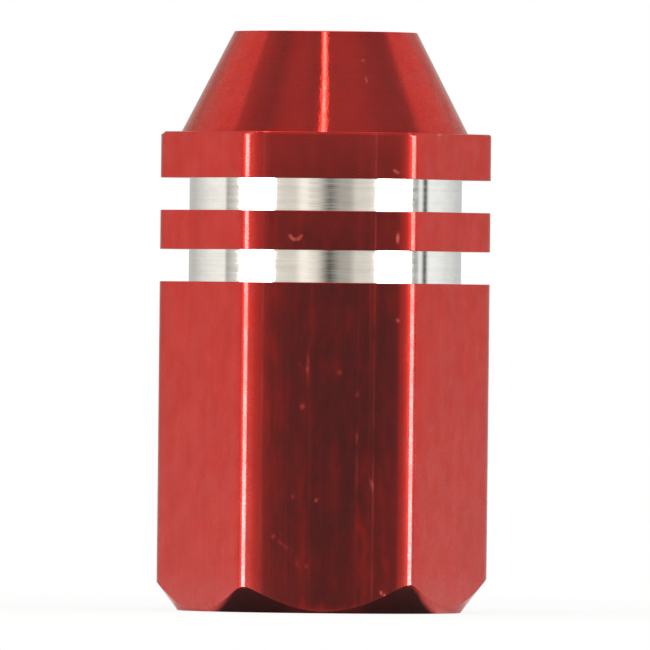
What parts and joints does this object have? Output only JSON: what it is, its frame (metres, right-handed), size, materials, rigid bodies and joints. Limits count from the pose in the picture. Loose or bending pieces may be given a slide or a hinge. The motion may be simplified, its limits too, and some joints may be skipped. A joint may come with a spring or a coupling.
{
  "type": "tyre valve cap",
  "caption": "Hexagon tyre valve cap in red anodised aluminium with a conical nose, bare turned grooves and a rubber seal in its threaded bore.",
  "frame": {"origin": "middle of the open end, in the plane of its rim", "axes": "+Z along the cap's axis up to the nose, X through two corners of the hexagon, Y square to two of its flats"},
  "size_m": [0.0114, 0.01, 0.0198],
  "materials": {
    "anodised_aluminium": "red anodised, with bare turned metal in the grooves",
    "seal_rubber": "matt black"
  },
  "bodies": {
    "root": {"cap_body": "anodised_aluminium", "seal_washer": "seal_rubber"}
  },
  "joints": []
}
